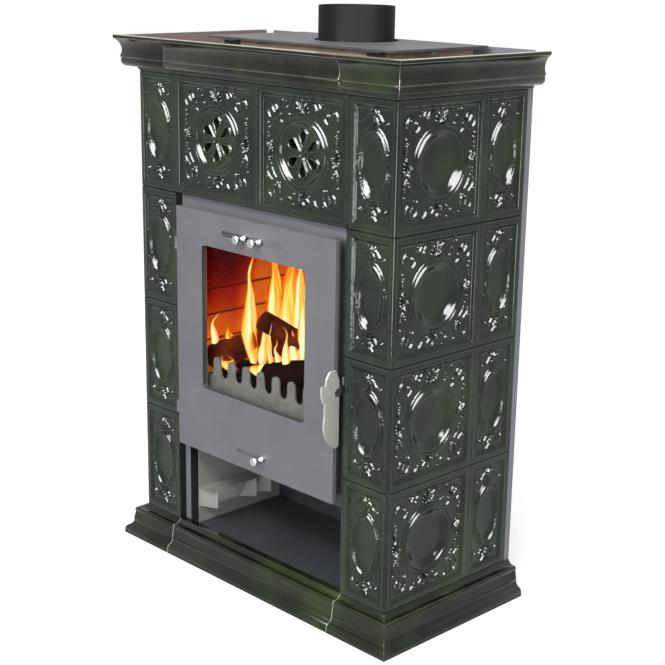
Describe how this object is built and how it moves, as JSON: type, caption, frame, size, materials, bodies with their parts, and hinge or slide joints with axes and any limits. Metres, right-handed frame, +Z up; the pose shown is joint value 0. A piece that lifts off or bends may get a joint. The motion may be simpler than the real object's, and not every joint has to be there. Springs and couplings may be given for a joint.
{
  "type": "tiled stove",
  "caption": "Wood stove clad in dark green relief tiles, with a glazed firebox door, a wood store below and a flue on top.",
  "frame": {"origin": "middle of the footprint, on the floor under the base frame's middle foot", "axes": "+Z up, the glass door faces -Y, +X to the right of someone who faces the door"},
  "size_m": [0.716, 0.3711, 1.033],
  "materials": {
    "green_glaze": "dark green gloss glaze",
    "grey_steel": "matt grey stove paint",
    "door_paint": "matt grey stove paint",
    "flue_steel": "satin dark grey stove paint",
    "fireclay": "bare fireclay",
    "cast_iron": "bare cast iron",
    "zinc_steel": "zinc coated sheet",
    "seal_rope": "woven glass rope and tape",
    "fire_glass": "clear fireproof glass",
    "bare_steel": "satin stainless",
    "bright_knob": "polished"
  },
  "bodies": {
    "stove": {"plinth_front": "green_glaze", "plinth_corner_left": "green_glaze", "plinth_corner_right": "green_glaze", "corner_tile_left_row1": "green_glaze", "corner_tile_right_row1": "green_glaze", "half_tile_left_row1": "green_glaze", "half_tile_right_row1": "green_glaze", "corner_tile_left_row2": "green_glaze", "corner_tile_right_row2": "green_glaze", "half_tile_left_row2": "green_glaze", "half_tile_right_row2": "green_glaze", "corner_tile_left_row3": "green_glaze", "corner_tile_right_row3": "green_glaze", "half_tile_left_row3": "green_glaze", "half_tile_right_row3": "green_glaze", "corner_tile_left_row4": "green_glaze", "corner_tile_right_row4": "green_glaze", "half_tile_left_row4": "green_glaze", "half_tile_right_row4": "green_glaze", "vent_tile_left": "green_glaze", "vent_tile_right": "green_glaze", "cornice_front": "green_glaze", "cornice_corner_left": "green_glaze", "cornice_corner_right": "green_glaze", "base_frame": "grey_steel", "corner_post_left": "grey_steel", "corner_post_right": "grey_steel", "back_panel": "grey_steel", "front_frame": "grey_steel", "store_liner": "grey_steel", "handle_keeper": "bare_steel", "firebox_shell": "grey_steel", "firebox_top": "grey_steel", "top_plate": "grey_steel", "flue_pipe": "flue_steel", "firebrick_side_left": "fireclay", "firebrick_side_right": "fireclay", "firebrick_rear": "fireclay", "baffle_plate": "fireclay", "hearth_floor": "fireclay", "storage_block_left": "fireclay", "storage_block_right": "fireclay", "grate": "cast_iron", "log_guard": "cast_iron", "ash_pan": "zinc_steel", "frame_hinge_lower": "grey_steel", "frame_hinge_upper": "grey_steel"},
    "door": {"door_panel": "door_paint", "door_inner_frame": "door_paint", "door_seal": "seal_rope", "glass_tape": "seal_rope", "door_glass": "fire_glass", "door_hinge_lower": "door_paint", "door_hinge_upper": "door_paint", "handle_bolt": "bare_steel"},
    "handle": {"door_handle": "bare_steel"},
    "shutter_left": {"upper_shutter_left": "bright_knob"},
    "shutter_right": {"upper_shutter_right": "bright_knob"},
    "shutter_lower": {"lower_shutter": "bright_knob"}
  },
  "joints": [
    {"name": "door_swing", "type": "hinge", "parent": "stove", "child": "door", "pos_m": [-0.2135, -0.151, 0.451], "axis": [0, 0, -1], "range_deg": [0, 110]},
    {"name": "handle_turn", "type": "hinge", "parent": "door", "child": "handle", "pos_m": [0.2102, -0.154, 0.424], "axis": [-1, 0, 0], "range_deg": [0, 25]},
    {"name": "left_shutter_slide", "type": "slide", "parent": "door", "child": "shutter_left", "axis": [-1, 0, 0], "range_m": [0, 0.057]},
    {"name": "right_shutter_slide", "type": "slide", "parent": "door", "child": "shutter_right", "axis": [1, 0, 0], "range_m": [0, 0.057]},
    {"name": "lower_shutter_slide", "type": "slide", "parent": "door", "child": "shutter_lower", "axis": [-1, 0, 0], "range_m": [-0.007, 0.063]}
  ]
}
